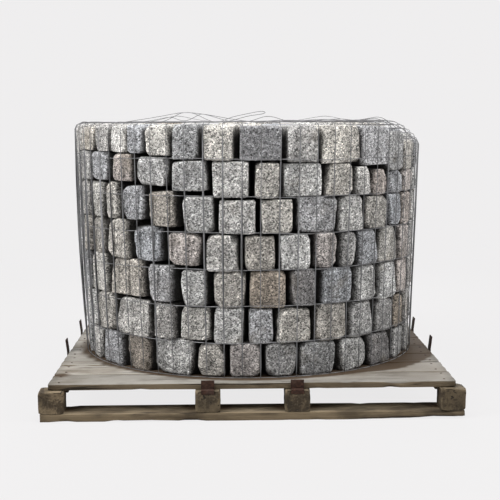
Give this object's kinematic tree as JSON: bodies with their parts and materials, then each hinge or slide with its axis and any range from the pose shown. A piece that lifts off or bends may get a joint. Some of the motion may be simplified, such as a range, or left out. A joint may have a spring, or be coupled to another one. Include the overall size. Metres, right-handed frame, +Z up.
{
  "type": "pallet of cobblestones",
  "caption": "Round stack of split granite cobbles in a welded wire mesh cage, folded in over the top, standing on a square timber block pallet with steel tabs.",
  "frame": {"origin": "middle of the pallet's footprint, on the floor", "axes": "+Z up; -Y is the front, along which the deck boards and bottom boards run left to right; +X is the right"},
  "size_m": [1.152, 1.252, 0.8271],
  "materials": {
    "granite": "rough split, speckled",
    "old_wood": "weathered, sawn",
    "wire": "dull zinc",
    "rust": "rusted flat bar"
  },
  "bodies": {
    "root": {"bottom_board_front": "old_wood", "bottom_board_mid_front": "old_wood", "bottom_board_mid_back": "old_wood", "bottom_board_back": "old_wood", "blocks_front": "old_wood", "blocks_mid_front": "old_wood", "blocks_mid_back": "old_wood", "blocks_back": "old_wood", "bearer_left": "old_wood", "bearer_mid_left": "old_wood", "bearer_mid_right": "old_wood", "bearer_right": "old_wood", "deck_board_1": "old_wood", "deck_board_2": "old_wood", "deck_board_3": "old_wood", "deck_board_4": "old_wood", "deck_board_5": "old_wood", "deck_board_6": "old_wood", "deck_board_7": "old_wood", "deck_board_8": "old_wood", "deck_board_9": "old_wood", "deck_board_10": "old_wood", "tab_front_left": "rust", "tab_front_right": "rust", "tab_back_left": "rust", "tab_back_right": "rust", "tab_left_front": "rust", "tab_left_back": "rust", "tab_right_front": "rust", "tab_right_back": "rust", "course_1": "granite", "course_2": "granite", "course_3": "granite", "course_4": "granite", "course_5": "granite", "course_6": "granite", "course_7": "granite", "top_fill": "granite", "core": "granite", "cage_front": "wire", "cage_right": "wire", "cage_back": "wire", "cage_left": "wire", "top_loops": "wire"}
  },
  "joints": []
}
